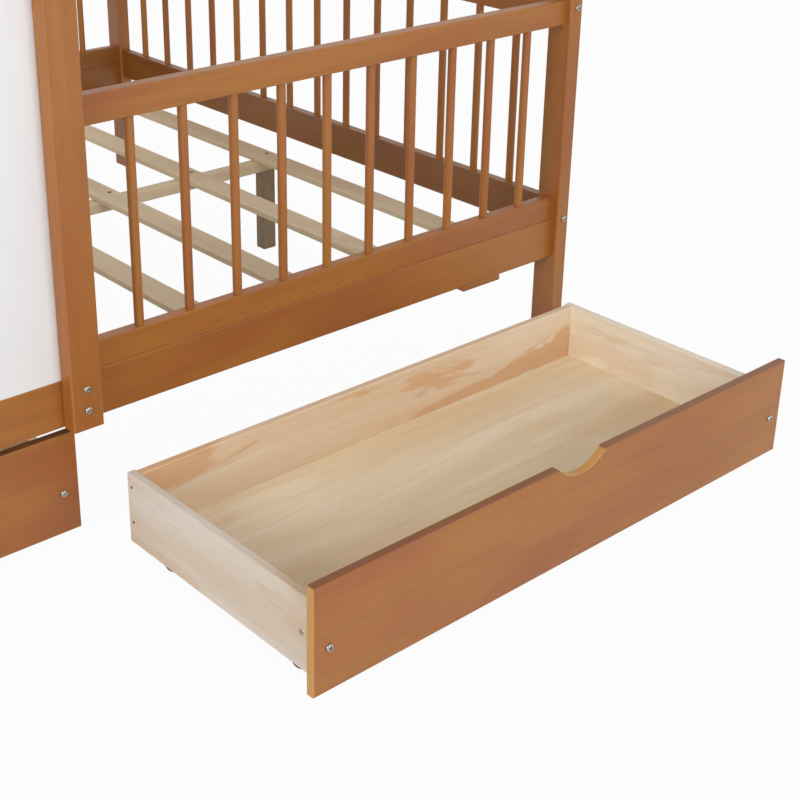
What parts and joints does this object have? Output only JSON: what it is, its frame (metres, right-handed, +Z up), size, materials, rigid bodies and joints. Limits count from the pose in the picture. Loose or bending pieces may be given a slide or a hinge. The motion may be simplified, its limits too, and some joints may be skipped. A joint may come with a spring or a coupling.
{
  "type": "house bed",
  "caption": "House-shaped bed frame with a spindle fence, writing board, slatted deck and roll-out drawers on casters under it.",
  "frame": {"origin": "on the floor, at the middle of the centre leg's foot, midway along the bed", "axes": "+X along the bed to the end beside the pulled-out drawer, +Y from the open front to the back, +Z up"},
  "size_m": [2.0008, 1.9573, 1.9103],
  "materials": {
    "stained_wood": "clear satin lacquer over a warm brown stain, light on the eased edges",
    "natural_wood": "bare planed pine, matte",
    "white_board": "smooth white laminate",
    "zinc_steel": "zinc-plated",
    "caster_wheel": "moulded grey plastic"
  },
  "bodies": {
    "frame": {"left_front_post": "stained_wood", "left_back_post": "stained_wood", "right_front_post": "stained_wood", "right_back_post": "stained_wood", "front_middle_post": "stained_wood", "front_side_rail": "stained_wood", "back_side_rail": "stained_wood", "front_slat_ledger": "natural_wood", "back_slat_ledger": "natural_wood", "front_fence_lower_rail": "stained_wood", "front_fence_upper_rail": "stained_wood", "front_fence_spindles": "stained_wood", "back_fence_lower_rail": "stained_wood", "back_fence_upper_rail": "stained_wood", "back_fence_spindles": "stained_wood", "left_end_lower_rail": "stained_wood", "left_end_upper_rail": "stained_wood", "left_end_spindles": "stained_wood", "right_end_lower_rail": "stained_wood", "right_end_upper_rail": "stained_wood", "right_end_spindles": "stained_wood", "left_slats": "natural_wood", "right_slats": "natural_wood", "centre_beam": "natural_wood", "left_leg": "natural_wood", "centre_leg": "natural_wood", "right_leg": "natural_wood", "rail_blocks": "stained_wood", "writing_board": "white_board", "board_top_rail": "stained_wood", "front_eave_rail": "stained_wood", "back_eave_rail": "stained_wood", "left_front_rafter": "stained_wood", "left_back_rafter": "stained_wood", "right_front_rafter": "stained_wood", "right_back_rafter": "stained_wood", "ridge_beam": "stained_wood", "frame_bolts": "zinc_steel"},
    "right_drawer": {"right_drawer_front": "stained_wood", "right_drawer_left_side": "natural_wood", "right_drawer_right_side": "natural_wood", "right_drawer_back": "natural_wood", "right_drawer_bottom": "natural_wood", "right_drawer_fasteners": "zinc_steel", "right_drawer_casters": "zinc_steel"},
    "right_wheel_1": {"right_drawer_wheel_1": "caster_wheel"},
    "right_wheel_2": {"right_drawer_wheel_2": "caster_wheel"},
    "right_wheel_3": {"right_drawer_wheel_3": "caster_wheel"},
    "right_wheel_4": {"right_drawer_wheel_4": "caster_wheel"},
    "left_drawer": {"left_drawer_front": "stained_wood", "left_drawer_left_side": "natural_wood", "left_drawer_right_side": "natural_wood", "left_drawer_back": "natural_wood", "left_drawer_bottom": "natural_wood", "left_drawer_fasteners": "zinc_steel", "left_drawer_casters": "zinc_steel"},
    "left_wheel_1": {"left_drawer_wheel_1": "caster_wheel"},
    "left_wheel_2": {"left_drawer_wheel_2": "caster_wheel"},
    "left_wheel_3": {"left_drawer_wheel_3": "caster_wheel"},
    "left_wheel_4": {"left_drawer_wheel_4": "caster_wheel"}
  },
  "joints": [
    {"name": "right_drawer_slide", "type": "slide", "parent": "frame", "child": "right_drawer", "axis": [0, -1, 0], "range_m": [-0.514, 0]},
    {"name": "right_wheel_1_roll", "type": "hinge", "parent": "right_drawer", "child": "right_wheel_1", "pos_m": [0.0456, -1.1763, 0.015], "axis": [1, 0, 0], "continuous": true},
    {"name": "right_wheel_2_roll", "type": "hinge", "parent": "right_drawer", "child": "right_wheel_2", "pos_m": [0.0456, -0.8943, 0.015], "axis": [1, 0, 0], "continuous": true},
    {"name": "right_wheel_3_roll", "type": "hinge", "parent": "right_drawer", "child": "right_wheel_3", "pos_m": [0.9129, -1.1763, 0.015], "axis": [1, 0, 0], "continuous": true},
    {"name": "right_wheel_4_roll", "type": "hinge", "parent": "right_drawer", "child": "right_wheel_4", "pos_m": [0.9129, -0.8943, 0.015], "axis": [1, 0, 0], "continuous": true},
    {"name": "left_drawer_slide", "type": "slide", "parent": "frame", "child": "left_drawer", "axis": [0, -1, 0], "range_m": [0, 0.514]},
    {"name": "left_wheel_1_roll", "type": "hinge", "parent": "left_drawer", "child": "left_wheel_1", "pos_m": [-0.9129, -0.6623, 0.015], "axis": [1, 0, 0], "continuous": true},
    {"name": "left_wheel_2_roll", "type": "hinge", "parent": "left_drawer", "child": "left_wheel_2", "pos_m": [-0.9129, -0.3803, 0.015], "axis": [1, 0, 0], "continuous": true},
    {"name": "left_wheel_3_roll", "type": "hinge", "parent": "left_drawer", "child": "left_wheel_3", "pos_m": [-0.0456, -0.6623, 0.015], "axis": [1, 0, 0], "continuous": true},
    {"name": "left_wheel_4_roll", "type": "hinge", "parent": "left_drawer", "child": "left_wheel_4", "pos_m": [-0.0456, -0.3803, 0.015], "axis": [1, 0, 0], "continuous": true}
  ],
  "couplings": [
    {"joint": "right_wheel_1_roll", "follows": "right_drawer_slide", "rad_per_m": 66.667},
    {"joint": "right_wheel_2_roll", "follows": "right_drawer_slide", "rad_per_m": 66.667},
    {"joint": "right_wheel_3_roll", "follows": "right_drawer_slide", "rad_per_m": 66.667},
    {"joint": "right_wheel_4_roll", "follows": "right_drawer_slide", "rad_per_m": 66.667},
    {"joint": "left_wheel_1_roll", "follows": "left_drawer_slide", "rad_per_m": 66.667},
    {"joint": "left_wheel_2_roll", "follows": "left_drawer_slide", "rad_per_m": 66.667},
    {"joint": "left_wheel_3_roll", "follows": "left_drawer_slide", "rad_per_m": 66.667},
    {"joint": "left_wheel_4_roll", "follows": "left_drawer_slide", "rad_per_m": 66.667}
  ]
}
